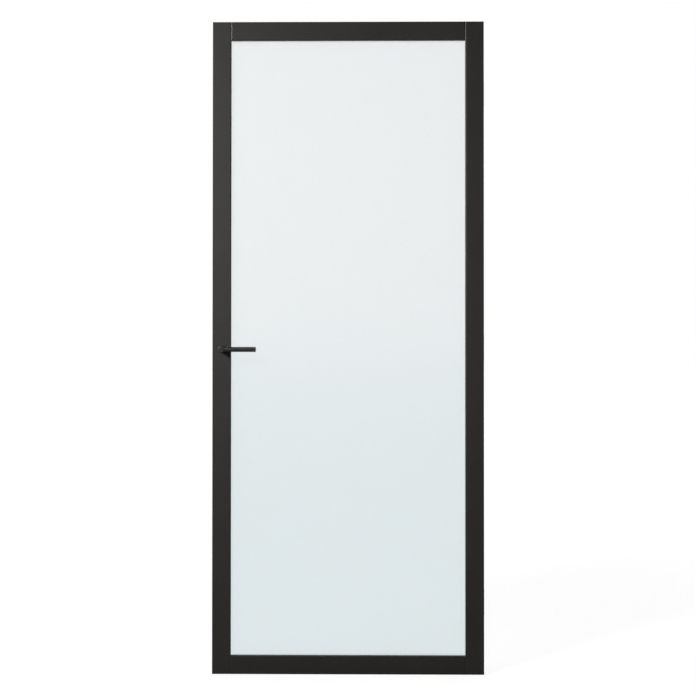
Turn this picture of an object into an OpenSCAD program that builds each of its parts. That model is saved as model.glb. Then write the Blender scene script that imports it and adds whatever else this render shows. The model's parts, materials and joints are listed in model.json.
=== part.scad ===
// Glazed door leaf: black stiles and rails round one satin pane, with a lever handle on each face,
// a magnetic latch and three butt hinges. Millimetres, origin at the bottom centre of the leaf,
// X to the right seen from the front, Y to the rear, Z up.

/* [Leaf] */
// Width of the leaf
leaf_w = 880; // [600:1:1100]
// Height of the leaf
leaf_h = 2115; // [1800:1:2400]
// Thickness of the leaf
leaf_t = 40; // [38:0.5:60]
// Width of the stiles and rails on the front
member_w = 60; // [56:1:110]
// Chamfer on the outer edges of the leaf
arris = 0.8; // [0.3:0.1:2]
// Width of the bevel on the inner edges, which makes a V groove where a rail meets a stile
bevel_w = 2.6; // [0.5:0.1:4]
// Depth of that bevel
bevel_d = 1.1; // [0.3:0.1:2]

/* [Glazing] */
// Thickness of the lip in front of the glass
lip_t = 10; // [8:0.5:18]
// Depth of the rebate that takes the edge of the glass
rebate_d = 10; // [7:0.5:14]
// Thickness of the glass
glass_t = 6; // [4:0.5:10]
// Clearance round the edge of the glass
glass_gap = 2.5; // [1.5:0.1:4]
// Thickness of the glazing tape on each face of the glass
tape_t = 1.5; // [1:0.1:3]
// Distance the tape lies back from the edge of the opening
tape_setback = 1; // [0.5:0.1:3]
// Chamfer on the inner edge of the rear beads
bead_chamfer = 2.5; // [0.5:0.1:5]
// Length of each block under the glass
block_len = 100; // [40:1:150]

/* [Bead screws] */
// Diameter of the bead screws
bead_screw_d = 3; // [2:0.1:4]
// Length of the bead screws
bead_screw_len = 24; // [16:1:30]
// Distance from the opening's corners to the first bead screw
bead_screw_inset = 110; // [60:1:160]
// Distance kept between the bead screws and the handle's height
bead_screw_keep = 170; // [120:1:250]
// Screws in a side bead on each side of the handle's height
side_screws = 3; // [2:1:5]
// Screws in the top bead and in the bottom bead
rail_screws = 3; // [2:1:5]

/* [Corner dowels] */
// Diameter of the dowels
dowel_d = 10; // [6:0.5:12]
// Length of the dowels
dowel_len = 80; // [50:1:90]
// Distance between the two dowels of a corner
dowel_pitch = 22; // [16:1:28]

/* [Lock] */
// Height of the spindle above the bottom of the leaf
lock_z = 1050; // [900:1:1200]
// Timber left between the lock and the glazing rebate
lock_wall = 3.5; // [1:0.1:8]
// Thickness of the lock case
case_t = 16; // [14:0.5:20]
// Thickness of the case walls
case_wall = 1.5; // [1:0.1:2.5]
// Thickness of the case front, which takes the forend's screws
case_front = 3; // [2:0.1:4]
// Depth of the case behind the spindle's axis
case_behind = 11; // [10.5:0.1:16]
// Height of the case below the spindle's axis
case_below = 42; // [38:1:70]
// Height of the case above the spindle's axis
case_above = 46; // [44:1:70]
// Width of the forend
forend_w = 20; // [16:0.5:24]
// Thickness of the forend
forend_t = 3; // [2:0.1:4]
// Length of the forend past each end of the case
forend_over = 42; // [25:1:60]
// Diameter of the forend's screws
forend_screw_d = 4; // [3:0.1:5]
// Length of the forend's screws
forend_screw_len = 14; // [10:1:16]

/* [Latch] */
// Height of the latch above the spindle's axis
latch_up = 26; // [25.5:0.1:28]
// Travel of the latch bolt
latch_throw = 11; // [9:0.5:13]
// Height of the bolt's head
latch_h = 18; // [12:0.5:20]
// Chamfer on the bolt's nose
latch_nose = 1; // [0.3:0.1:2]
// Diameter of the magnet in the bolt's nose
magnet_d = 8; // [4:0.5:9]
// Depth of the magnet
magnet_len = 6; // [3:0.5:10]
// Diameter of the bolt's tail
tail_d = 5; // [4:0.1:5.5]
// Diameter of the collar at the end of the tail
collar_d = 9; // [8.5:0.1:9.5]
// Thickness of the collar and its lug
collar_t = 1.8; // [1:0.1:2]
// Thickness of the bridge that guides the tail
bridge_t = 1.8; // [1:0.1:2]

/* [Follower] */
// Diameter of the follower's hub
hub_d = 17; // [15:0.1:17.5]
// Diameter of the follower's journals in the case walls
hub_journal_d = 14; // [12:0.1:14.5]
// Distance from the axis to the middle of the toe's nose
toe_len = 18; // [17:0.1:18.2]
// Width of the toe
toe_w = 4; // [3:0.1:4.5]
// Lean of the toe to the lock edge at rest, in degrees
toe_lean = 26; // [25:0.5:27]
// Distance from the axis to the return spring
ear_r = 15; // [13:0.5:16]
// Width of the ear that the return spring presses
ear_w = 5; // [3:0.1:6]
// Thickness of the toe and the ear
toe_t = 5; // [3:0.1:6]

/* [Springs] */
// Diameter of the spring wire
wire_d = 1; // [0.6:0.1:1.1]
// Radial room between a spring and the rod inside it
coil_room = 0.3; // [0.2:0.05:0.4]
// Turns of the bolt's spring
bolt_spring_turns = 6; // [4:1:7]
// Turns of the lever's return spring
return_spring_turns = 8; // [5:1:10]
// Diameter of the spigot that holds the return spring
spigot_d = 5; // [4:0.1:6]
// Length of that spigot
spigot_len = 5; // [3:0.5:8]

/* [Handle] */
// Distance from the spindle's axis to the tip of the bar
lever_reach = 110; // [80:1:140]
// Diameter of the bar
bar_d = 16; // [12:0.1:17]
// Distance from the face of the leaf to the bar's axis
lever_stand = 42; // [36:0.5:60]
// Diameter of the neck
neck_d = 22; // [19:0.1:24]
// Length of the neck past the bar's axis
neck_over = 9; // [8:0.1:14]
// Rounding of the neck's front edge
neck_round = 3; // [0.5:0.1:4]
// Chamfer on the tip of the bar
bar_chamfer = 0.8; // [0.2:0.1:2]
// Side of the square spindle
spindle_w = 8; // [7:0.5:8.5]
// Length of spindle inside each neck, from the face of the leaf
spindle_in = 27; // [20:0.5:32]
// Diameter of the lever's journal
journal_d = 16; // [14:0.1:17]
// Wall of the bush round the journal
bush_wall = 1.5; // [1:0.1:2.5]
// Width of the bush's flange past its barrel
bush_rim = 2; // [1:0.1:2.5]
// Thickness of the bush's flange
bush_flange_t = 1.5; // [1:0.1:2]
// Wall of the rose round the bush's flange
rose_wall = 1.4; // [1:0.1:3]
// Height of the rose
rose_t = 3.5; // [3:0.1:6]
// Rounding of the rose's edge
rose_round = 1; // [0.3:0.1:1.4]
// Diameter of the grub screws
grub_d = 5; // [4:0.5:6]
// Distance from the face of the leaf to the grub screws
grub_stand = 14; // [10:0.5:18]

/* [Hinges] */
// Height of a hinge
hinge_h = 89; // [70:1:120]
// Distance from each end of the leaf to the middle of the nearest hinge
hinge_inset = 230; // [150:1:300]
// Width of a flap from the pin's axis to its free edge
flap_w = 27; // [26:0.5:36]
// Thickness of a flap
flap_t = 1.8; // [1.8:0.1:3]
// Gap between the two flaps of a closed hinge
flap_gap = 1; // [1:0.1:4]
// Corner radius of a flap
flap_corner = 6; // [2:0.5:8]
// Diameter of the pin
pin_d = 6; // [5:0.1:7]
// Wall of the knuckles round the pin
knuckle_wall = 2.5; // [2:0.1:3.5]
// Room between the knuckles and the rear face of the leaf
knuckle_room = 2; // [0.4:0.1:3]
// Diameter of the pin's button head
pin_head_d = 9.6; // [8:0.1:11]
// Height of the pin's button head
pin_head_h = 2; // [1:0.1:4]
// Diameter of the hinge screws
hinge_screw_d = 4; // [3.5:0.1:4.5]
// Length of the hinge screws
hinge_screw_len = 22; // [16:1:30]
// Distance between a flap's screws across the hinge
hinge_hole_y = 9; // [9:0.5:11]
// Distance between a door flap's screws along the hinge
door_hole_z = 60; // [52:1:66]
// Distance between a frame flap's screws along the hinge, so that the heads don't meet
frame_hole_z = 44; // [30:1:50]
// Distance from a flap's free edge to its first screws
hinge_hole_edge = 5.5; // [5:0.1:6]

/* [Fits] */
// Radial clearance of a running fit
run_fit = 0.05; // [0.02:0.01:0.1]
// Gap between pieces that move past each other
move_gap = 0.4; // [0.3:0.05:0.6]
// Clearance of a piece in its hole or recess
seat_play = 0.1; // [0.05:0.01:0.2]

/* [Hidden] */
$fn = 64;
half_w = leaf_w / 2;
front_y = -leaf_t / 2;
rear_y = leaf_t / 2;

// Section of the stiles and rails, from the front: lip, tape, glass, tape, bead
core_w = member_w - rebate_d;
lip_y = front_y + lip_t;
glass_y = lip_y + tape_t;
bead_y = glass_y + glass_t + tape_t;
sight_x = half_w - member_w;
sight_z0 = member_w;
sight_z1 = leaf_h - member_w;
rebate_x = half_w - core_w;
rebate_z0 = core_w;
rebate_z1 = leaf_h - core_w;

// Screw heads are twice the shank's diameter, less for the thin hinge flaps
head_ratio = 2;
hinge_head_ratio = 1.75;
socket_ratio = 0.8;
socket_depth = 0.4;
bead_screw_y = (bead_y + rear_y) / 2;
side_screw_z = concat(
    spread(sight_z0 + bead_screw_inset, lock_z - bead_screw_keep, side_screws),
    spread(lock_z + bead_screw_keep, sight_z1 - bead_screw_inset, side_screws));
rail_screw_x = spread(-sight_x + bead_screw_inset, sight_x - bead_screw_inset, rail_screws);

// Dowels cross the joint between stile and rail behind the lip
dowel_y = (lip_y + rear_y) / 2;
dowel_chamfer = 1;
dowel_z = [
    core_w / 2 - dowel_pitch / 2, core_w / 2 + dowel_pitch / 2,
    leaf_h - core_w / 2 - dowel_pitch / 2, leaf_h - core_w / 2 + dowel_pitch / 2];

// Lock, measured in from the edge of the leaf
case_room = 0.5;
backset = core_w - lock_wall - case_room - case_behind;
lock_x = -half_w;
spindle_x = lock_x + backset;
case_x0 = lock_x + forend_t;
case_x1 = spindle_x + case_behind;
case_z0 = lock_z - case_below;
case_z1 = lock_z + case_above;
inner_x0 = case_x0 + case_front;
inner_x1 = case_x1 - case_wall;
inner_z0 = case_z0 + case_wall;
inner_z1 = case_z1 - case_wall;
base_y = -case_t / 2 + case_wall;
cover_y = case_t / 2 - case_wall;
forend_z0 = case_z0 - forend_over;
forend_z1 = case_z1 + forend_over;
forend_screw_in = 12;
case_screw_in = 7;
forend_screw_z = [
    forend_z0 + forend_screw_in, case_z0 + case_screw_in,
    case_z1 - case_screw_in, forend_z1 - forend_screw_in];
cover_screw_d = 3;
cover_screw_len = 8;
post_d = 6;
post_in = 4.6;
post_x = [lock_x + forend_screw_len + post_d / 2 + 1, case_x1 - post_in - 1];
post_z = [case_z0 + post_in, case_z1 - post_in];

// Latch: head, tail through the bridge, collar with a lug that the toe pushes
latch_z = lock_z + latch_up;
latch_w = cover_y - base_y - 2 * move_gap;
collar_room = 1;
collar_x = inner_x1 - collar_room - collar_t;
bridge_x = collar_x - latch_throw - bolt_spring_turns * wire_d - bridge_t;
bridge_z0 = latch_z - 6;
latch_x1 = bridge_x - move_gap;
latch_len = latch_x1 - lock_x;
lug_z0 = lock_z + toe_len - 4;
lug_w = 6;
bolt_coil_r = tail_d / 2 + coil_room + wire_d / 2;
return_coil_r = spigot_d / 2 + coil_room + wire_d / 2;
hub_len = cover_y - base_y - 2 * move_gap;
hub_journal_len = case_t - 2 * seat_play;
ear_len = ear_r + return_coil_r + wire_d / 2;

// Handle, measured out from the face of the leaf
neck_end = lever_stand + neck_over;
neck_start = rose_t + move_gap;
bush_r = journal_d / 2 + run_fit + bush_wall;
bush_len = leaf_t / 2 - case_t / 2 - case_room;
journal_in = bush_len - move_gap;
rose_r = bush_r + bush_rim + seat_play + rose_wall;
rose_bore_r = journal_d / 2 + move_gap;

// Hinges
knuckle_r = pin_d / 2 + run_fit + knuckle_wall;
pin_x = half_w + flap_gap / 2;
pin_y = rear_y + knuckle_room + knuckle_r;
flap_y = pin_y - flap_w;
hinge_z = [hinge_inset, leaf_h / 2, leaf_h - hinge_inset];
knuckles = 5;
knuckle_pitch = (hinge_h + move_gap) / knuckles;
hinge_hole_ys = [flap_y + hinge_hole_edge, flap_y + hinge_hole_edge + hinge_hole_y];

// Colours
black_lacquer = "#35322f";
black_metal = "#2b2a29";
steel = "#b4b7ba";
satin_glass = "#e6eff0";
beech = "#c9a477";
rubber = "#1d1d1d";
nylon = "#d9d8d2";

// Evenly spaced values from one end to the other
function spread(first, last, count) = [for (i = [0 : count - 1]) first + (last - first) * i / (count - 1)];

// Box between two opposite corners
module box(low, high) {
    translate(low) cube(high - low);
}

// Turns a piece drawn along Z so that it points along X
module along_x() {
    rotate([0, 90, 0]) children();
}

// Turns a piece drawn along Z so that it points along Y
module along_y() {
    rotate([-90, 0, 0]) children();
}

// Flat shape drawn in X and Z, with its thickness centred on Y
module upright(thickness) {
    rotate([90, 0, 0]) linear_extrude(thickness, center = true) children();
}

// Countersunk screw, or its hole when it is grown: head at the origin, tip down
module csk_screw(d, len, ratio, grow = 0) {
    shank = d / 2 + grow;
    head = d * ratio / 2 + grow;
    difference() {
        rotate_extrude() polygon([
            [0, 0], [head, 0], [shank, shank - head], [shank, d - len - grow], [0, -len - grow]]);
        if (grow == 0)
            translate([0, 0, -d * socket_depth])
                cylinder(d = d * socket_ratio, h = d, $fn = 6);
    }
}

// Helical wire along Z between two heights, with closed ends
module coil(radius, low, high, turns) {
    steps = 16;
    sides = 6;
    rings = turns * steps;
    rise = high - low - wire_d;
    points = [for (i = [0 : rings], j = [0 : sides - 1])
        let (turn = 360 * i / steps, round = 360 * j / sides, r = radius + wire_d / 2 * cos(round))
            [r * cos(turn), r * sin(turn), low + wire_d / 2 + rise * i / rings + wire_d / 2 * sin(round)]];
    walls = [for (i = [0 : rings - 1], j = [0 : sides - 1])
        let (next = (j + 1) % sides)
            [i * sides + j, i * sides + next, (i + 1) * sides + next, (i + 1) * sides + j]];
    first = [for (j = [0 : sides - 1]) sides - 1 - j];
    last = [for (j = [0 : sides - 1]) rings * sides + j];
    polyhedron(points, concat(walls, [first, last]));
}

// Stiles and rails

// Section shared by stiles and rails: outer edge at x = 0, lip at the front
module member_section() {
    polygon([
        [0, front_y + arris], [arris, front_y], [member_w - bevel_w, front_y],
        [member_w, front_y + bevel_d], [member_w, lip_y], [core_w, lip_y],
        [core_w, rear_y - bevel_d], [core_w - bevel_w, rear_y], [arris, rear_y], [0, rear_y - arris]]);
}

// Full-height stile with its outer edge at x = 0 and its ends chamfered like that edge
module stile() {
    intersection() {
        linear_extrude(leaf_h) member_section();
        rotate([0, -90, 0]) linear_extrude(4 * member_w, center = true) polygon([
            [0, front_y + arris], [arris, front_y], [leaf_h - arris, front_y],
            [leaf_h, front_y + arris], [leaf_h, rear_y - arris], [leaf_h - arris, rear_y],
            [arris, rear_y], [0, rear_y - arris]]);
    }
}

// Rail with its outer edge at z = 0: the lip stops at the stiles' lips, the core runs into their rebates
module rail() {
    side = [
        [sight_x - bevel_w, front_y], [sight_x, front_y + bevel_d], [sight_x, lip_y], [rebate_x, lip_y],
        [rebate_x, rear_y - bevel_d], [rebate_x - bevel_w, rear_y]];
    count = len(side);
    intersection() {
        rotate([0, -90, 0]) linear_extrude(2 * rebate_x, center = true) member_section();
        linear_extrude(member_w) polygon(concat(
            side, [for (i = [count - 1 : -1 : 0]) [-side[i][0], side[i][1]]]));
    }
}

module at_dowels() {
    for (side = [-1, 1], z = dowel_z)
        translate([side * rebate_x, dowel_y, z]) along_x() children();
}

module dowel_bores() {
    at_dowels() cylinder(d = dowel_d + 2 * seat_play, h = dowel_len + 2 * seat_play, center = true);
}

module lock_stile() {
    color(black_lacquer) difference() {
        translate([-half_w, 0, 0]) stile();
        dowel_bores();
        at_lock_bead() side_bead_screws(-1, seat_play);
        lock_mortise();
    }
}

module hinge_stile() {
    color(black_lacquer) difference() {
        translate([half_w, 0, 0]) mirror([1, 0, 0]) stile();
        dowel_bores();
        at_hinge_bead() side_bead_screws(1, seat_play);
        for (z = hinge_z) translate([0, 0, z]) {
            flap_plate(half_w - flap_t, half_w + flap_gap, seat_play);
            flap_screws(door_hole_z, seat_play);
        }
    }
}

module top_rail() {
    color(black_lacquer) difference() {
        translate([0, 0, leaf_h]) mirror([0, 0, 1]) rail();
        dowel_bores();
        at_top_bead() rail_bead_screws(seat_play);
    }
}

module bottom_rail() {
    color(black_lacquer) difference() {
        rail();
        dowel_bores();
        at_bottom_bead() rail_bead_screws(seat_play);
    }
}

module corner_dowels() {
    end = dowel_len / 2;
    color(beech) at_dowels() rotate_extrude() polygon([
        [0, -end], [dowel_d / 2 - dowel_chamfer, -end], [dowel_d / 2, dowel_chamfer - end],
        [dowel_d / 2, end - dowel_chamfer], [dowel_d / 2 - dowel_chamfer, end], [0, end]]);
}

// Glazing

module glass_pane() {
    color(satin_glass) box(
        [-rebate_x + glass_gap, glass_y, rebate_z0 + glass_gap],
        [rebate_x - glass_gap, glass_y + glass_t, rebate_z1 - glass_gap]);
}

// Tape frame between the glass and the lip or the beads, starting at a depth y
module glazing_tape(y) {
    edge = glass_gap;
    inner = rebate_d - tape_setback;
    color(rubber) difference() {
        box([-rebate_x + edge, y, rebate_z0 + edge], [rebate_x - edge, y + tape_t, rebate_z1 - edge]);
        box([-rebate_x + inner, y - tape_t, rebate_z0 + inner],
            [rebate_x - inner, y + 2 * tape_t, rebate_z1 - inner]);
    }
}

module front_seal() {
    glazing_tape(lip_y);
}

module rear_seal() {
    glazing_tape(glass_y + glass_t);
}

module setting_blocks() {
    color(nylon) for (x = [-rebate_x / 2, rebate_x / 2]) translate([x, 0, 0]) box(
        [-block_len / 2, glass_y, rebate_z0],
        [block_len / 2, glass_y + glass_t, rebate_z0 + glass_gap]);
}

// Bead along X with mitred ends: outer edge at z = 0, chamfered edge towards the opening
module bead(half_len) {
    intersection() {
        rotate([0, -90, 0]) linear_extrude(2 * half_len, center = true) polygon([
            [0, bead_y], [rebate_d, bead_y], [rebate_d, rear_y - bead_chamfer],
            [rebate_d - bead_chamfer, rear_y], [0, rear_y]]);
        upright(2 * leaf_t) polygon([
            [-half_len, 0], [half_len, 0], [half_len - rebate_d, rebate_d], [rebate_d - half_len, rebate_d]]);
    }
}

module at_bottom_bead() {
    translate([0, 0, rebate_z0]) children();
}

module at_top_bead() {
    translate([0, 0, rebate_z1]) mirror([0, 0, 1]) children();
}

module at_lock_bead() {
    translate([-rebate_x, 0, leaf_h / 2]) rotate([0, 90, 0]) children();
}

module at_hinge_bead() {
    translate([rebate_x, 0, leaf_h / 2]) rotate([0, -90, 0]) children();
}

module bead_screw(grow) {
    translate([0, bead_screw_y, rebate_d])
        csk_screw(bead_screw_d, bead_screw_len, head_ratio, grow);
}

module rail_bead_screws(grow = 0) {
    for (x = rail_screw_x) translate([x, 0, 0]) bead_screw(grow);
}

// Screws of a side bead: the bead's own X runs up the leaf on one side and down it on the other
module side_bead_screws(up, grow = 0) {
    for (z = side_screw_z) translate([up * (z - leaf_h / 2), 0, 0]) bead_screw(grow);
}

module top_bead() {
    color(black_lacquer) at_top_bead() difference() {
        bead(rebate_x);
        rail_bead_screws(seat_play);
    }
}

module bottom_bead() {
    color(black_lacquer) at_bottom_bead() difference() {
        bead(rebate_x);
        rail_bead_screws(seat_play);
    }
}

module lock_side_bead() {
    color(black_lacquer) at_lock_bead() difference() {
        bead(leaf_h / 2 - core_w);
        side_bead_screws(-1, seat_play);
    }
}

module hinge_side_bead() {
    color(black_lacquer) at_hinge_bead() difference() {
        bead(leaf_h / 2 - core_w);
        side_bead_screws(1, seat_play);
    }
}

module bead_screws() {
    color(black_metal) {
        at_top_bead() rail_bead_screws();
        at_bottom_bead() rail_bead_screws();
        at_lock_bead() side_bead_screws(-1);
        at_hinge_bead() side_bead_screws(1);
    }
}

// Lock

// Everything cut from the lock stile: case pocket, forend recess, screw and bush holes
module lock_mortise() {
    box([lock_x - 1, -case_t / 2 - seat_play, case_z0 - case_room],
        [case_x1 + case_room, case_t / 2 + seat_play, case_z1 + case_room]);
    forend_plate(lock_x - 1, seat_play);
    at_forend_screws() csk_screw(forend_screw_d, forend_screw_len, head_ratio, seat_play);
    translate([spindle_x, 0, lock_z]) along_y()
        cylinder(r = bush_r + seat_play, h = 2 * leaf_t, center = true);
}

// Round-ended plate from a depth x to the back of the forend
module forend_plate(x, grow = 0) {
    r = forend_w / 2;
    depth = case_x0 - x;
    translate([x, 0, 0]) {
        for (z = [forend_z0 + r, forend_z1 - r])
            translate([0, 0, z]) along_x() cylinder(r = r + grow, h = depth);
        box([0, -r - grow, forend_z0 + r], [depth, r + grow, forend_z1 - r]);
    }
}

module at_forend_screws() {
    for (z = forend_screw_z) translate([lock_x, 0, z]) rotate([0, -90, 0]) children();
}

// Opening for the bolt's head through the forend and the case front
module latch_window() {
    box([lock_x - 1, -latch_w / 2 - move_gap, latch_z - latch_h / 2 - move_gap],
        [inner_x0 + 1, latch_w / 2 + move_gap, latch_z + latch_h / 2 + move_gap]);
}

module at_posts() {
    for (x = post_x, z = post_z) translate([x, 0, z]) along_y() children();
}

module at_cover_screws() {
    for (x = post_x, z = post_z) translate([x, case_t / 2, z]) along_y() children();
}

module follower_bore() {
    translate([spindle_x, 0, lock_z]) along_y()
        cylinder(d = hub_journal_d + 2 * run_fit, h = 2 * case_t, center = true);
}

// Folded case, open at the rear, with the latch's bridge, four cover posts and the spring's spigot
module lock_case() {
    color(steel) difference() {
        union() {
            difference() {
                box([case_x0, -case_t / 2, case_z0], [case_x1, cover_y, case_z1]);
                box([inner_x0, base_y, inner_z0], [inner_x1, case_t, inner_z1]);
            }
            box([bridge_x, base_y, bridge_z0], [bridge_x + bridge_t, cover_y, inner_z1]);
            at_posts() translate([0, 0, base_y]) cylinder(d = post_d, h = cover_y - base_y);
            translate([inner_x0, 0, lock_z - ear_r]) along_x() cylinder(d = spigot_d, h = spigot_len);
        }
        latch_window();
        follower_bore();
        at_forend_screws() csk_screw(forend_screw_d, forend_screw_len, head_ratio, seat_play);
        at_cover_screws() csk_screw(cover_screw_d, cover_screw_len, head_ratio, seat_play);
        translate([bridge_x, 0, latch_z]) along_x()
            cylinder(r = tail_d / 2 + move_gap, h = 4 * bridge_t, center = true);
    }
}

module case_cover() {
    color(steel) difference() {
        box([case_x0, cover_y, case_z0], [case_x1, case_t / 2, case_z1]);
        follower_bore();
        at_cover_screws() csk_screw(cover_screw_d, cover_screw_len, head_ratio, seat_play);
    }
}

module cover_screws() {
    color(steel) at_cover_screws() csk_screw(cover_screw_d, cover_screw_len, head_ratio);
}

module forend() {
    color(black_metal) difference() {
        forend_plate(lock_x);
        latch_window();
        at_forend_screws() csk_screw(forend_screw_d, forend_screw_len, head_ratio, seat_play);
    }
}

module forend_screws() {
    color(black_metal) at_forend_screws() csk_screw(forend_screw_d, forend_screw_len, head_ratio);
}

// Bolt with its head flush with the forend, a round tail, and a collar with a lug for the toe
module latch_bolt() {
    side = latch_w / 2;
    color(steel) difference() {
        union() {
            translate([lock_x, 0, latch_z - latch_h / 2]) linear_extrude(latch_h) polygon([
                [0, -side + latch_nose], [latch_nose, -side], [latch_len, -side],
                [latch_len, side], [latch_nose, side], [0, side - latch_nose]]);
            translate([latch_x1, 0, latch_z]) along_x() cylinder(d = tail_d, h = collar_x - latch_x1);
            translate([collar_x, 0, latch_z]) along_x() cylinder(d = collar_d, h = collar_t);
            box([collar_x, -lug_w / 2, lug_z0], [collar_x + collar_t, lug_w / 2, latch_z]);
        }
        translate([lock_x, 0, latch_z]) along_x() cylinder(r = magnet_d / 2 + seat_play, h = magnet_len);
    }
}

module bolt_magnet() {
    color(steel) translate([lock_x, 0, latch_z]) along_x() cylinder(d = magnet_d, h = magnet_len);
}

module bolt_spring() {
    color(steel) translate([0, 0, latch_z]) along_x()
        coil(bolt_coil_r, bridge_x + bridge_t, collar_x, bolt_spring_turns);
}

// Hub on two journals, with a toe that pushes the bolt back and an ear for the return spring
module follower() {
    color(steel) translate([spindle_x, 0, lock_z]) difference() {
        union() {
            along_y() cylinder(d = hub_d, h = hub_len, center = true);
            along_y() cylinder(d = hub_journal_d, h = hub_journal_len, center = true);
            upright(toe_t) {
                rotate(toe_lean) {
                    translate([-toe_w / 2, 0]) square([toe_w, toe_len]);
                    translate([0, toe_len]) circle(d = toe_w);
                }
                translate([-ear_w / 2, -ear_len]) square([ear_w, ear_len]);
            }
        }
        spindle_bar(seat_play);
    }
}

module return_spring() {
    color(steel) translate([0, 0, lock_z - ear_r]) along_x()
        coil(return_coil_r, inner_x0, spindle_x - ear_w / 2, return_spring_turns);
}

// Handle

// Square bar on the spindle's axis, or the hole for it when it is grown
module spindle_bar(grow = 0) {
    side = spindle_w + 2 * grow;
    cube([side, leaf_t + 2 * spindle_in + 2 * grow, side], center = true);
}

module spindle() {
    color(steel) translate([spindle_x, 0, lock_z]) spindle_bar();
}

// Places a piece on the front face: its Z points out of the face and its Y points up
module on_front() {
    translate([spindle_x, front_y, lock_z]) rotate([90, 0, 0]) children();
}

module on_rear() {
    mirror([0, 1, 0]) on_front() children();
}

// Flanged nylon bush that carries the lever's journal
module bush() {
    color(nylon) difference() {
        union() {
            translate([0, 0, -bush_len]) cylinder(r = bush_r, h = bush_len);
            cylinder(r = bush_r + bush_rim, h = bush_flange_t);
        }
        cylinder(r = journal_d / 2 + run_fit, h = 4 * leaf_t, center = true);
    }
}

// Cap over the bush's flange, with a rounded edge
module rose() {
    color(black_metal) difference() {
        rotate_extrude() {
            square([rose_r, rose_t - rose_round]);
            square([rose_r - rose_round, rose_t]);
            translate([rose_r - rose_round, rose_t - rose_round]) circle(rose_round);
        }
        cylinder(r = rose_bore_r, h = 4 * rose_t, center = true);
        translate([0, 0, -rose_t])
            cylinder(r = bush_r + bush_rim + seat_play, h = rose_t + bush_flange_t + seat_play);
    }
}

// Lever in one piece: journal, neck with a rounded front edge, straight bar
module lever() {
    neck_r = neck_d / 2;
    color(black_metal) difference() {
        union() {
            translate([0, 0, -journal_in]) cylinder(d = journal_d, h = journal_in + lever_stand);
            rotate_extrude() {
                translate([0, neck_start]) square([neck_r, neck_end - neck_round - neck_start]);
                translate([0, neck_start]) square([neck_r - neck_round, neck_end - neck_start]);
                translate([neck_r - neck_round, neck_end - neck_round]) circle(neck_round);
            }
            translate([0, 0, lever_stand]) along_x() rotate_extrude() polygon([
                [0, 0], [bar_d / 2, 0], [bar_d / 2, lever_reach - bar_chamfer],
                [bar_d / 2 - bar_chamfer, lever_reach], [0, lever_reach]]);
        }
        translate([0, 0, front_y]) rotate([-90, 0, 0]) spindle_bar(seat_play);
        grub_hole(grub_d / 2 + seat_play, neck_d);
    }
}

// Cylinder from the underside of the spindle downwards, at the grub screw's place
module grub_hole(r, depth) {
    translate([0, -spindle_w / 2, grub_stand]) rotate([90, 0, 0]) cylinder(r = r, h = depth);
}

module front_bush() {
    on_front() bush();
}

module rear_bush() {
    on_rear() bush();
}

module front_rose() {
    on_front() rose();
}

module rear_rose() {
    on_rear() rose();
}

module front_lever() {
    on_front() lever();
}

module rear_lever() {
    on_rear() lever();
}

module grub_screw() {
    len = neck_d / 2 - spindle_w / 2 - 1;
    socket = grub_d / 2;
    color(black_metal) difference() {
        grub_hole(grub_d / 2, len);
        translate([0, -spindle_w / 2 - len, grub_stand]) rotate([90, 0, 0])
            cylinder(d = socket, h = socket * 2, center = true, $fn = 6);
    }
}

module grub_screws() {
    on_front() grub_screw();
    on_rear() grub_screw();
}

// Hinges, each drawn at its own height z = 0

// Plate of a flap between two depths in X, with its free corners rounded; it runs in under the knuckles
module flap_plate(x0, x1, grow = 0) {
    low = flap_y - grow;
    half = hinge_h / 2 + grow;
    r = flap_corner;
    translate([x0, 0, 0]) {
        for (z = [r - half, half - r])
            translate([0, low + r, z]) along_x() cylinder(r = r, h = x1 - x0);
        box([0, low, r - half], [x1 - x0, pin_y, half - r]);
        box([0, low + r, -half], [x1 - x0, pin_y, half]);
    }
}

// Every other knuckle of a hinge, counted from the bottom
module knuckle_row(first, r, extra = 0) {
    for (i = [first : 2 : knuckles - 1])
        translate([pin_x, pin_y, i * knuckle_pitch - hinge_h / 2 - extra])
            cylinder(r = r, h = knuckle_pitch - move_gap + 2 * extra);
}

// Hinge screw at each hole of a flap, or its hole when it is grown: head at the leaf's edge, tip inwards
module flap_screws(pitch, grow = 0) {
    for (y = hinge_hole_ys, z = [-pitch / 2, pitch / 2])
        translate([half_w, y, z]) along_x()
            csk_screw(hinge_screw_d, hinge_screw_len, hinge_head_ratio, grow);
}

// Flap with its own knuckles, cleared round the other flap's knuckles
module flap(x0, own, other) {
    difference() {
        union() {
            difference() {
                flap_plate(x0, x0 + flap_t);
                knuckle_row(other, knuckle_r + move_gap, move_gap);
            }
            knuckle_row(own, knuckle_r);
        }
        translate([pin_x, pin_y, 0]) cylinder(r = pin_d / 2 + run_fit, h = 2 * hinge_h, center = true);
    }
}

module hinge_door_flap(z) {
    color(black_metal) translate([0, 0, z]) difference() {
        flap(half_w - flap_t, 1, 0);
        flap_screws(door_hole_z, seat_play);
    }
}

module hinge_frame_flap(z) {
    color(black_metal) translate([0, 0, z]) difference() {
        flap(half_w + flap_gap, 0, 1);
        mirror_in_gap() flap_screws(frame_hole_z, seat_play);
    }
}

// Mirrors a piece across the middle of the gap between the flaps
module mirror_in_gap() {
    translate([2 * pin_x, 0, 0]) mirror([1, 0, 0]) children();
}

// Pin with a button head that rests on the top knuckle
module hinge_pin(z) {
    round = pin_head_h / 2;
    r = pin_head_d / 2;
    color(black_metal) translate([pin_x, pin_y, z]) {
        translate([0, 0, -hinge_h / 2]) cylinder(d = pin_d, h = hinge_h);
        translate([0, 0, hinge_h / 2]) rotate_extrude() {
            square([r, pin_head_h - round]);
            square([r - round, pin_head_h]);
            translate([r - round, pin_head_h - round]) intersection() {
                circle(round);
                square(pin_head_h);
            }
        }
    }
}

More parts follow.
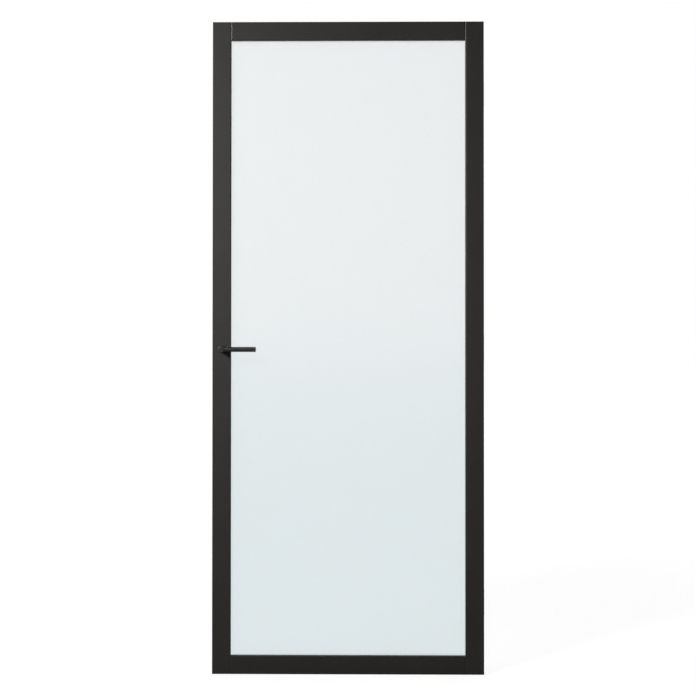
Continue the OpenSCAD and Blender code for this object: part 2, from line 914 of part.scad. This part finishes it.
module lower_hinge_door_flap() {
    hinge_door_flap(hinge_z[0]);
}

module middle_hinge_door_flap() {
    hinge_door_flap(hinge_z[1]);
}

module upper_hinge_door_flap() {
    hinge_door_flap(hinge_z[2]);
}

module lower_hinge_frame_flap() {
    hinge_frame_flap(hinge_z[0]);
}

module middle_hinge_frame_flap() {
    hinge_frame_flap(hinge_z[1]);
}

module upper_hinge_frame_flap() {
    hinge_frame_flap(hinge_z[2]);
}

module lower_hinge_pin() {
    hinge_pin(hinge_z[0]);
}

module middle_hinge_pin() {
    hinge_pin(hinge_z[1]);
}

module upper_hinge_pin() {
    hinge_pin(hinge_z[2]);
}

module hinge_screws() {
    color(black_metal) for (z = hinge_z) translate([0, 0, z]) flap_screws(door_hole_z);
}

lock_stile();
hinge_stile();
top_rail();
bottom_rail();
corner_dowels();
glass_pane();
front_seal();
rear_seal();
setting_blocks();
top_bead();
bottom_bead();
lock_side_bead();
hinge_side_bead();
bead_screws();
lock_case();
case_cover();
cover_screws();
forend();
forend_screws();
latch_bolt();
bolt_magnet();
bolt_spring();
follower();
return_spring();
spindle();
front_bush();
rear_bush();
front_rose();
rear_rose();
front_lever();
rear_lever();
grub_screws();
upper_hinge_door_flap();
middle_hinge_door_flap();
lower_hinge_door_flap();
upper_hinge_frame_flap();
middle_hinge_frame_flap();
lower_hinge_frame_flap();
upper_hinge_pin();
middle_hinge_pin();
lower_hinge_pin();
hinge_screws();
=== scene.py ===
import json
from math import radians

import bpy
import bmesh
from mathutils import Euler, Matrix, Vector


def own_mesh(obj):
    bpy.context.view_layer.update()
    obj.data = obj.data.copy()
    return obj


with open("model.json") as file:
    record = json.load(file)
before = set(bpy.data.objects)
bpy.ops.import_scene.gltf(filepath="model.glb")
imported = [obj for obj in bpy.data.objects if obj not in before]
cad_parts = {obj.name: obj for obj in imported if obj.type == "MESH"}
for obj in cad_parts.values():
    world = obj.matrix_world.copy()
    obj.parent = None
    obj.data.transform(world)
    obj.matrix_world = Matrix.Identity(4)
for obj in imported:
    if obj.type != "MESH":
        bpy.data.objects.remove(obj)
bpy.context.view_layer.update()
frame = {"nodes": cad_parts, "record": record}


# shader maths: a socket that can be used in Python expressions
class Value:
    def __init__(self, graph, socket):
        self.graph = graph
        self.socket = socket

    def math(self, operation, first, second):
        return self.graph.add("ShaderNodeMath", {"operation": operation}, {0: first, 1: second})

    def __add__(self, other):
        return self.math("ADD", self, other)

    def __radd__(self, other):
        return self.math("ADD", other, self)

    def __sub__(self, other):
        return self.math("SUBTRACT", self, other)

    def __rsub__(self, other):
        return self.math("SUBTRACT", other, self)

    def __mul__(self, other):
        return self.math("MULTIPLY", self, other)

    def __rmul__(self, other):
        return self.math("MULTIPLY", other, self)

    def atMost(self, other):
        return self.math("MINIMUM", self, other)

    def atLeast(self, other):
        return self.math("MAXIMUM", self, other)

    def clamped(self):  # kept between 0 and 1
        return self.atLeast(0.0).atMost(1.0)


class Graph:
    def __init__(self, tree):
        self.tree = tree
        self.tree.nodes.clear()

    # any node: its type, its settings (set first), then values or links for its sockets
    def add(self, kind, settings=None, inputs=None, output=0):
        node = self.tree.nodes.new(kind)
        for key, setting in (settings or {}).items():
            setattr(node, key, setting)
        for key, given in (inputs or {}).items():
            if isinstance(given, Value):
                self.tree.links.new(given.socket, node.inputs[key])
            else:
                node.inputs[key].default_value = given
        return Value(self, node.outputs[output]) if node.outputs else node

    def mix(self, factor, first, second):  # two colours
        return self.add("ShaderNodeMix", {"data_type": "RGBA"}, {0: factor, 6: first, 7: second}, 2)

    def place(self, stretch=(1, 1, 1)):  # metres in the object's own frame
        where = self.add("ShaderNodeTexCoord", output="Object")
        return self.add("ShaderNodeMapping", None, {"Vector": where, "Scale": stretch})

    def noise(self, where, scale=1.0, detail=2.0, roughness=0.5):
        return self.add("ShaderNodeTexNoise", None,
                        {"Vector": where, "Scale": scale, "Detail": detail, "Roughness": roughness})

    def bump(self, height, strength, depth):  # depth in metres
        return self.add("ShaderNodeBump", None, {"Strength": strength, "Distance": depth, "Height": height})

    def principled(self, inputs):
        shader = self.add("ShaderNodeBsdfPrincipled", None, inputs)
        self.add("ShaderNodeOutputMaterial", None, {"Surface": shader})


def newFinish(name):
    material = bpy.data.materials.new(name)
    material.use_nodes = True
    return material, Graph(material.node_tree)


def rgb(red, green, blue):
    return (red, green, blue, 1.0)


def grey(level):
    return rgb(level, level, level)


# In each finish a Scale sets how fine a pattern is, a Share how much of the colour it moves, and a
# Rough how much of the roughness; bump is how strongly the relief shows and Depth its height in metres.

# sprayed satin lacquer: near black, slow mottling and a fine orange peel
lacquer = {"deep": rgb(0.0300, 0.0280, 0.0263), "pale": rgb(0.0395, 0.0374, 0.0355),
           "patchScale": 7.0, "speckScale": 1500.0, "peelScale": 330.0,
           "patchShare": 0.7, "speckShare": 0.3,
           "rough": 0.38, "patchRough": 0.06, "speckRough": 0.04, "specular": 0.35,
           "bump": 0.5, "peelDepth": 0.00006, "speckHeight": 0.2}


def blackLacquer():
    material, graph = newFinish("blackLacquer")
    where = graph.place()
    patch = graph.noise(where, lacquer["patchScale"], detail=3.0)
    speck = graph.noise(where, lacquer["speckScale"])
    peel = graph.noise(where, lacquer["peelScale"], roughness=0.4)
    tone = patch * lacquer["patchShare"] + speck * lacquer["speckShare"]
    relief = peel + speck * lacquer["speckHeight"]
    graph.principled({
        "Base Color": graph.mix(tone, lacquer["deep"], lacquer["pale"]),
        "Roughness": lacquer["rough"] + patch * lacquer["patchRough"] + speck * lacquer["speckRough"],
        "Specular IOR Level": lacquer["specular"],
        "Normal": graph.bump(relief, lacquer["bump"], lacquer["peelDepth"])})
    return material


# etched satin glass: cool white, slightly cloudy
glass = {"tint": rgb(0.893, 0.917, 0.924), "cloud": rgb(0.883, 0.912, 0.922),
         "cloudScale": 4.0, "grainScale": 2600.0, "rough": 0.30, "grainRough": 0.06,
         "ior": 1.5, "clear": 0.98, "bump": 0.25, "grainDepth": 0.00002}


def satinGlass():
    material, graph = newFinish("satinGlass")
    where = graph.place()
    cloud = graph.noise(where, glass["cloudScale"])
    grain = graph.noise(where, glass["grainScale"])
    graph.principled({
        "Base Color": graph.mix(cloud, glass["tint"], glass["cloud"]),
        "Roughness": glass["rough"] + grain * glass["grainRough"],
        "IOR": glass["ior"],
        "Transmission Weight": glass["clear"],
        "Normal": graph.bump(grain, glass["bump"], glass["grainDepth"])})
    return material


# black foam tape that beds the glass
tape = {"deep": rgb(0.012, 0.012, 0.012), "pale": rgb(0.026, 0.026, 0.027),
        "grainScale": 900.0, "rough": 0.72, "grainRough": 0.2, "specular": 0.3,
        "bump": 0.4, "grainDepth": 0.00008}


def glazingTape():
    material, graph = newFinish("glazingTape")
    grain = graph.noise(graph.place(), tape["grainScale"], detail=4.0, roughness=0.6)
    graph.principled({
        "Base Color": graph.mix(grain, tape["deep"], tape["pale"]),
        "Roughness": tape["rough"] + grain * tape["grainRough"],
        "Specular IOR Level": tape["specular"],
        "Normal": graph.bump(grain, tape["bump"], tape["grainDepth"])})
    return material


# moulded nylon of the setting blocks and handle bushes
nylonLook = {"pale": rgb(0.74, 0.73, 0.69), "deep": rgb(0.66, 0.64, 0.59),
             "cloudScale": 90.0, "grainScale": 1200.0, "rough": 0.48, "grainRough": 0.14,
             "bump": 0.3, "grainDepth": 0.00004}


def mouldedNylon():
    material, graph = newFinish("mouldedNylon")
    where = graph.place()
    cloud = graph.noise(where, nylonLook["cloudScale"], detail=3.0)
    grain = graph.noise(where, nylonLook["grainScale"], detail=3.0)
    graph.principled({
        "Base Color": graph.mix(cloud, nylonLook["pale"], nylonLook["deep"]),
        "Roughness": nylonLook["rough"] + grain * nylonLook["grainRough"],
        "Normal": graph.bump(grain, nylonLook["bump"], nylonLook["grainDepth"])})
    return material


# beech dowels: grain runs along X
beech = {"pale": rgb(0.60, 0.42, 0.25), "deep": rgb(0.42, 0.26, 0.13), "fleck": rgb(0.30, 0.17, 0.08),
         "grainStretch": (18, 420, 420), "poreStretch": (160, 1500, 1500),
         "fleckFrom": 0.62, "fleckGain": 9.0, "fleckSink": 0.6,
         "rough": 0.58, "grainRough": 0.2, "bump": 0.4, "grainDepth": 0.00012}


def turnedBeech():
    material, graph = newFinish("turnedBeech")
    grain = graph.noise(graph.place(beech["grainStretch"]), detail=5.0, roughness=0.6)
    pores = graph.noise(graph.place(beech["poreStretch"]))
    fleck = ((pores - beech["fleckFrom"]) * beech["fleckGain"]).clamped()
    body = graph.mix(grain, beech["pale"], beech["deep"])
    graph.principled({
        "Base Color": graph.mix(fleck, body, beech["fleck"]),
        "Roughness": beech["rough"] + grain * beech["grainRough"],
        "Normal": graph.bump(grain - fleck * beech["fleckSink"], beech["bump"], beech["grainDepth"])})
    return material


# fine powder coat on the handles, forend, hinges and their screws
coat = {"deep": rgb(0.0215, 0.0205, 0.0198), "pale": rgb(0.0345, 0.0335, 0.0325),
        "stippleScale": 1300.0, "cloudScale": 60.0, "stippleShare": 0.6, "cloudShare": 0.4,
        "rough": 0.36, "stippleRough": 0.12, "specular": 0.45, "bump": 0.6, "stippleDepth": 0.00007}


def powderCoat():
    material, graph = newFinish("powderCoat")
    where = graph.place()
    stipple = graph.noise(where, coat["stippleScale"], roughness=0.45)
    cloud = graph.noise(where, coat["cloudScale"], detail=3.0)
    tone = stipple * coat["stippleShare"] + cloud * coat["cloudShare"]
    graph.principled({
        "Base Color": graph.mix(tone, coat["deep"], coat["pale"]),
        "Roughness": coat["rough"] + stipple * coat["stippleRough"],
        "Specular IOR Level": coat["specular"],
        "Normal": graph.bump(stipple, coat["bump"], coat["stippleDepth"])})
    return material


# brushed steel: fine scratches along Z
steel = {"pale": rgb(0.66, 0.665, 0.67), "deep": rgb(0.47, 0.475, 0.48),
         "scratchStretch": (3200, 3200, 70), "smudgeScale": 120.0,
         "scratchShare": 0.7, "smudgeShare": 0.3,
         "rough": 0.24, "scratchRough": 0.16, "smudgeRough": 0.08, "bump": 0.35, "scratchDepth": 0.00003}


def brushedSteel():
    material, graph = newFinish("brushedSteel")
    scratch = graph.noise(graph.place(steel["scratchStretch"]), detail=3.0, roughness=0.6)
    smudge = graph.noise(graph.place(), steel["smudgeScale"], detail=3.0)
    tone = scratch * steel["scratchShare"] + smudge * steel["smudgeShare"]
    graph.principled({
        "Base Color": graph.mix(tone, steel["deep"], steel["pale"]),
        "Metallic": 1.0,
        "Roughness": steel["rough"] + scratch * steel["scratchRough"] + smudge * steel["smudgeRough"],
        "Normal": graph.bump(scratch, steel["bump"], steel["scratchDepth"])})
    return material


# nickel plate on the magnet
nickel = {"pale": rgb(0.70, 0.69, 0.66), "deep": rgb(0.58, 0.57, 0.54),
          "cloudScale": 260.0, "grainScale": 3500.0, "rough": 0.14, "cloudRough": 0.12,
          "bump": 0.2, "grainDepth": 0.00002}


def nickelPlate():
    material, graph = newFinish("nickelPlate")
    where = graph.place()
    cloud = graph.noise(where, nickel["cloudScale"], detail=3.0)
    grain = graph.noise(where, nickel["grainScale"])
    graph.principled({
        "Base Color": graph.mix(cloud, nickel["pale"], nickel["deep"]),
        "Metallic": 1.0,
        "Roughness": nickel["rough"] + cloud * nickel["cloudRough"],
        "Normal": graph.bump(grain, nickel["bump"], nickel["grainDepth"])})
    return material


# oiled wire of the lock's springs
wire = {"pale": rgb(0.52, 0.52, 0.53), "deep": rgb(0.30, 0.30, 0.31),
        "lineScale": 2400.0, "oilScale": 180.0, "oilShare": 0.6, "lineShare": 0.4,
        "rough": 0.26, "oilRough": 0.2, "bump": 0.3, "lineDepth": 0.00002}


def drawnWire():
    material, graph = newFinish("drawnWire")
    where = graph.place()
    line = graph.noise(where, wire["lineScale"], detail=3.0)
    oil = graph.noise(where, wire["oilScale"])
    tone = oil * wire["oilShare"] + line * wire["lineShare"]
    graph.principled({
        "Base Color": graph.mix(tone, wire["deep"], wire["pale"]),
        "Metallic": 1.0,
        "Roughness": wire["rough"] + oil * wire["oilRough"],
        "Normal": graph.bump(line, wire["bump"], wire["lineDepth"])})
    return material


slotFinish = {
    "black_lacquer": blackLacquer(),
    "satin_glass": satinGlass(),
    "glazing_tape": glazingTape(),
    "nylon": mouldedNylon(),
    "beech": turnedBeech(),
    "black_metal": powderCoat(),
    "lock_steel": brushedSteel(),
    "magnet": nickelPlate(),
    "spring_steel": drawnWire()}

for part in frame["record"]["subparts"]:
    for materialSlot in frame["nodes"][part["node"]].material_slots:
        materialSlot.material = slotFinish[part["material_slot"]]
behindGlass = ["front_lever", "rear_lever", "front_rose", "rear_rose", "top_bead", "bottom_bead",
               "lock_side_bead", "hinge_side_bead", "bead_screws", "rear_seal"]
for name in behindGlass:
    frame["nodes"][name].visible_transmission = False  # the etched glass hides what is close behind it
print("finishes set:", ", ".join(slotFinish))

# the lock's springs shorten as the levers turn and the latch comes out, their left ends staying; here each
# spring only gets a mesh of its own
lockSprings = {"return_spring": {"joint": "lever_turn", "keep": 0.55},
               "bolt_spring": {"joint": "latch_slide", "keep": 0.34}}
for name, given in lockSprings.items():
    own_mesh(frame["nodes"][name])
print("springs follow", ", ".join(given["joint"] for given in lockSprings.values()))


# studio: white behind the leaf and to the camera, dim on the camera's side; edge and wrap set how
# sharply and how far round the sides the white begins, near and far where the floor turns white
studio = {"paper": grey(1.0), "dim": 0.05, "back": 1.0, "edge": 2.0, "wrap": 0.1,
          "floor": rgb(0.888, 0.943, 0.953), "floorSize": 60.0,
          "matt": 0.175, "glow": 0.90, "catch": 0.16, "near": 1.5, "far": 5.0}


def rayIs(graph, kind):  # 1 for rays of that kind, 0 for others
    return graph.add("ShaderNodeLightPath", output="Is " + kind + " Ray")


def whiteStudio():
    world = bpy.data.worlds.new("whiteStudio")
    world.use_nodes = True
    graph = Graph(world.node_tree)
    seenWhite = rayIs(graph, "Camera").atLeast(rayIs(graph, "Transmission"))
    toward = graph.add("ShaderNodeTexCoord", output="Generated")
    depth = graph.add("ShaderNodeSeparateXYZ", None, {"Vector": toward}, "Y")
    behind = (depth * studio["edge"] + studio["wrap"]).clamped()
    level = studio["dim"] + behind * (studio["back"] - studio["dim"])
    sky = graph.add("ShaderNodeBackground", None,
                    {"Color": studio["paper"], "Strength": level.atLeast(seenWhite)})
    graph.add("ShaderNodeOutputWorld", None, {"Surface": sky})
    bpy.context.scene.world = world


def paleFloor():
    bm = bmesh.new()
    bmesh.ops.create_grid(bm, x_segments=1, y_segments=1, size=studio["floorSize"])
    mesh = bpy.data.meshes.new("floor")
    bm.to_mesh(mesh)
    bm.free()
    floor = bpy.data.objects.new("floor", mesh)
    bpy.context.collection.objects.link(floor)
    material, graph = newFinish("paleFloor")
    where = graph.add("ShaderNodeTexCoord", output="Object")
    reach = graph.add("ShaderNodeVectorMath", {"operation": "LENGTH"}, {0: where}, "Value")
    away = ((reach - studio["near"]) * (1 / (studio["far"] - studio["near"]))).clamped()
    shine = graph.mix(away, grey(studio["glow"]), studio["paper"])
    matt = graph.add("ShaderNodeBsdfDiffuse", None, {"Color": grey(studio["matt"])})
    catch = graph.add("ShaderNodeBsdfDiffuse", None, {"Color": grey(studio["catch"])})
    glow = graph.add("ShaderNodeEmission", None, {"Color": shine, "Strength": 1.0})
    cool = graph.add("ShaderNodeEmission", None, {"Color": studio["floor"], "Strength": 1.0})
    seen = graph.add("ShaderNodeAddShader", None, {0: catch, 1: glow})
    lit = graph.add("ShaderNodeMixShader", None, {0: rayIs(graph, "Camera"), 1: matt, 2: seen})
    whole = graph.add("ShaderNodeMixShader", None, {0: rayIs(graph, "Transmission"), 1: lit, 2: cool})
    graph.add("ShaderNodeOutputMaterial", None, {"Surface": whole})
    mesh.materials.append(material)


# the key stands up to the left in front, as the handle's shadow shows, and a weak fill opens that shadow
softBoxes = {
    "key": {"at": (-2.89, -2.75, 2.79), "aim": (0.32, 0.0, 1.13), "size": 0.80,
            "spread": 72.2, "watts": 31.0},
    "fill": {"at": (-1.80, -1.60, 1.00), "aim": (-0.30, 0.0, 1.00), "size": 1.00,
             "spread": 178.0, "watts": 4.8}}


def softBox(name):
    given = softBoxes[name]
    lamp = bpy.data.lights.new(name, "AREA")
    lamp.shape = "DISK"
    lamp.size = given["size"]
    lamp.spread = radians(given["spread"])
    lamp.energy = given["watts"]
    holder = bpy.data.objects.new(name, lamp)
    bpy.context.collection.objects.link(holder)
    away = Vector(given["aim"]) - Vector(given["at"])
    turned = away.to_track_quat("-Z", "Y").to_matrix().to_4x4()
    holder.matrix_world = Matrix.Translation(given["at"]) @ turned


# camera: the photograph's viewpoint, about 3.1 m in front of the leaf at chest height
view = {"at": (0.0271, -3.1516, 1.0312), "turn": (0.437, -0.024, 0.498), "lens": 50.0, "sensor": 36.0}


def photoCamera():
    data = bpy.data.cameras.new("photoCamera")
    data.lens = view["lens"]
    data.sensor_width = view["sensor"]
    camera = bpy.data.objects.new("photoCamera", data)
    bpy.context.collection.objects.link(camera)
    turn = Euler([radians(angle) for angle in view["turn"]]).to_matrix().to_4x4()
    level = Matrix.Rotation(radians(90), 4, "X")  # a new camera looks down
    camera.matrix_world = Matrix.Translation(view["at"]) @ turn @ level
    bpy.context.scene.camera = camera


whiteStudio()
paleFloor()
for boxName in softBoxes:
    softBox(boxName)
photoCamera()
bpy.context.scene.view_settings.view_transform = "Standard"
print("studio ready")
